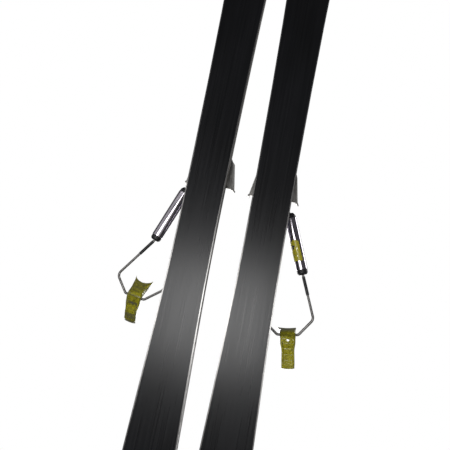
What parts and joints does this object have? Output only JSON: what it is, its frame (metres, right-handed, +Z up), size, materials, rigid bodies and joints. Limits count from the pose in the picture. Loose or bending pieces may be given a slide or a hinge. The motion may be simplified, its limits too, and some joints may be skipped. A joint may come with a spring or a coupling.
{
  "type": "pair of telemark skis with cable bindings",
  "caption": "Pair of free-heel telemark skis with hard-wire cable bindings: flared toe plates, sprung cartridges, bent heel wires and heel throw levers.",
  "frame": {"origin": "centre of the pair's footprint box, on the floor", "axes": "+Z up, +Y to the tips, +X to the right ski"},
  "size_m": [0.3648, 1.786, 0.0917],
  "materials": {
    "base_plastic": "sintered polyethylene base, finely brushed along its length",
    "edge_steel": "ground steel",
    "core_wood": "laminated poplar, sealed inside",
    "sidewall_plastic": "milled sidewall plastic",
    "topsheet_plastic": "lacquered top sheet",
    "black_plastic": "moulded glass-filled nylon",
    "binding_metal": "satin grey coating with bare worn edges",
    "pad_rubber": "soft rubber",
    "screw_steel": "zinc-plated steel",
    "cable_steel": "stranded steel wire rope",
    "tube_chrome": "polished chrome plate",
    "spring_steel": "oiled spring steel",
    "nut_brass": "turned brass",
    "sleeve_rubber": "shrunk-on sleeve",
    "wire_steel": "drawn stainless wire",
    "lever_plastic": "translucent tinted urethane",
    "label_film": "printed film without lettering"
  },
  "bodies": {
    "left_ski": {"left_running_base": "base_plastic", "left_steel_edges": "edge_steel", "left_wood_core": "core_wood", "left_sidewalls": "sidewall_plastic", "left_topsheet": "topsheet_plastic", "left_toe_riser": "black_plastic", "left_toe_plate": "binding_metal", "left_toe_pad": "pad_rubber", "left_toe_screws": "screw_steel", "left_toe_cable": "cable_steel", "left_heel_riser": "black_plastic", "left_heel_pad": "pad_rubber", "left_heel_screws": "screw_steel"},
    "left_lead_cable": {"left_flex_cable": "cable_steel"},
    "left_cartridges": {"left_outer_spring_tube": "tube_chrome", "left_outer_front_cap": "black_plastic", "left_outer_rear_cap": "black_plastic", "left_outer_spring": "spring_steel", "left_inner_spring_tube": "tube_chrome", "left_inner_front_cap": "black_plastic", "left_inner_rear_cap": "black_plastic", "left_inner_spring": "spring_steel", "left_cartridge_label": "label_film"},
    "left_wire_loop": {"left_heel_wire": "wire_steel", "left_outer_rod_nut": "nut_brass", "left_outer_rod_sleeve": "sleeve_rubber", "left_inner_rod_nut": "nut_brass", "left_inner_rod_sleeve": "sleeve_rubber"},
    "left_heel_throw": {"left_heel_lever": "lever_plastic", "left_lever_rivet": "screw_steel"},
    "right_ski": {"right_running_base": "base_plastic", "right_steel_edges": "edge_steel", "right_wood_core": "core_wood", "right_sidewalls": "sidewall_plastic", "right_topsheet": "topsheet_plastic", "right_toe_riser": "black_plastic", "right_toe_plate": "binding_metal", "right_toe_pad": "pad_rubber", "right_toe_screws": "screw_steel", "right_toe_cable": "cable_steel", "right_heel_riser": "black_plastic", "right_heel_pad": "pad_rubber", "right_heel_screws": "screw_steel"},
    "right_lead_cable": {"right_flex_cable": "cable_steel"},
    "right_cartridges": {"right_outer_spring_tube": "tube_chrome", "right_outer_front_cap": "black_plastic", "right_outer_rear_cap": "black_plastic", "right_outer_spring": "spring_steel", "right_inner_spring_tube": "tube_chrome", "right_inner_front_cap": "black_plastic", "right_inner_rear_cap": "black_plastic", "right_inner_spring": "spring_steel"},
    "right_wire_loop": {"right_heel_wire": "wire_steel", "right_outer_rod_nut": "nut_brass", "right_outer_rod_sleeve": "sleeve_rubber", "right_inner_rod_nut": "nut_brass", "right_inner_rod_sleeve": "sleeve_rubber"},
    "right_heel_throw": {"right_heel_lever": "lever_plastic", "right_lever_rivet": "screw_steel"}
  },
  "joints": [
    {"name": "ski_glide", "type": "slide", "parent": "left_ski", "child": "right_ski", "axis": [0, 1, 0], "range_m": [-0.3, 0.3]},
    {"name": "left_cable_swing", "type": "hinge", "parent": "left_ski", "child": "left_lead_cable", "pos_m": [-0.07414, -0.068, 0.037], "axis": [0, 0, -1], "range_deg": [-18, 10], "deforming": ["left_flex_cable"]},
    {"name": "left_cable_lift", "type": "hinge", "parent": "left_lead_cable", "child": "left_cartridges", "pos_m": [-0.07414, -0.068, 0.037], "axis": [-0.9863, 0.165, 0], "range_deg": [0, 35]},
    {"name": "left_wire_pull", "type": "slide", "parent": "left_cartridges", "child": "left_wire_loop", "axis": [-0.2795, -0.9582, 0.0606], "range_m": [0, 0.012], "stiffness_N_per_m": 3000, "deforming": ["left_outer_spring", "left_inner_spring"]},
    {"name": "left_lever_turn", "type": "hinge", "parent": "left_wire_loop", "child": "left_heel_throw", "pos_m": [-0.14162, -0.2834, 0.05067], "axis": [-0.9863, 0.165, 0], "range_deg": [-2, 78]},
    {"name": "right_cable_swing", "type": "hinge", "parent": "right_ski", "child": "right_lead_cable", "pos_m": [0.04786, -0.062, 0.037], "axis": [0, 0, 1], "range_deg": [-28, 2], "deforming": ["right_flex_cable"]},
    {"name": "right_cable_lift", "type": "hinge", "parent": "right_lead_cable", "child": "right_cartridges", "pos_m": [0.04786, -0.062, 0.037], "axis": [-0.9877, -0.1564, 0], "range_deg": [0, 35]},
    {"name": "right_wire_pull", "type": "slide", "parent": "right_cartridges", "child": "right_wire_loop", "axis": [0.3004, -0.9519, 0.0604], "range_m": [0, 0.012], "stiffness_N_per_m": 3000, "deforming": ["right_outer_spring", "right_inner_spring"]},
    {"name": "right_lever_turn", "type": "hinge", "parent": "right_wire_loop", "child": "right_heel_throw", "pos_m": [0.14246, -0.26934, 0.05043], "axis": [-0.9877, -0.1564, 0], "range_deg": [-45, 35]}
  ]
}
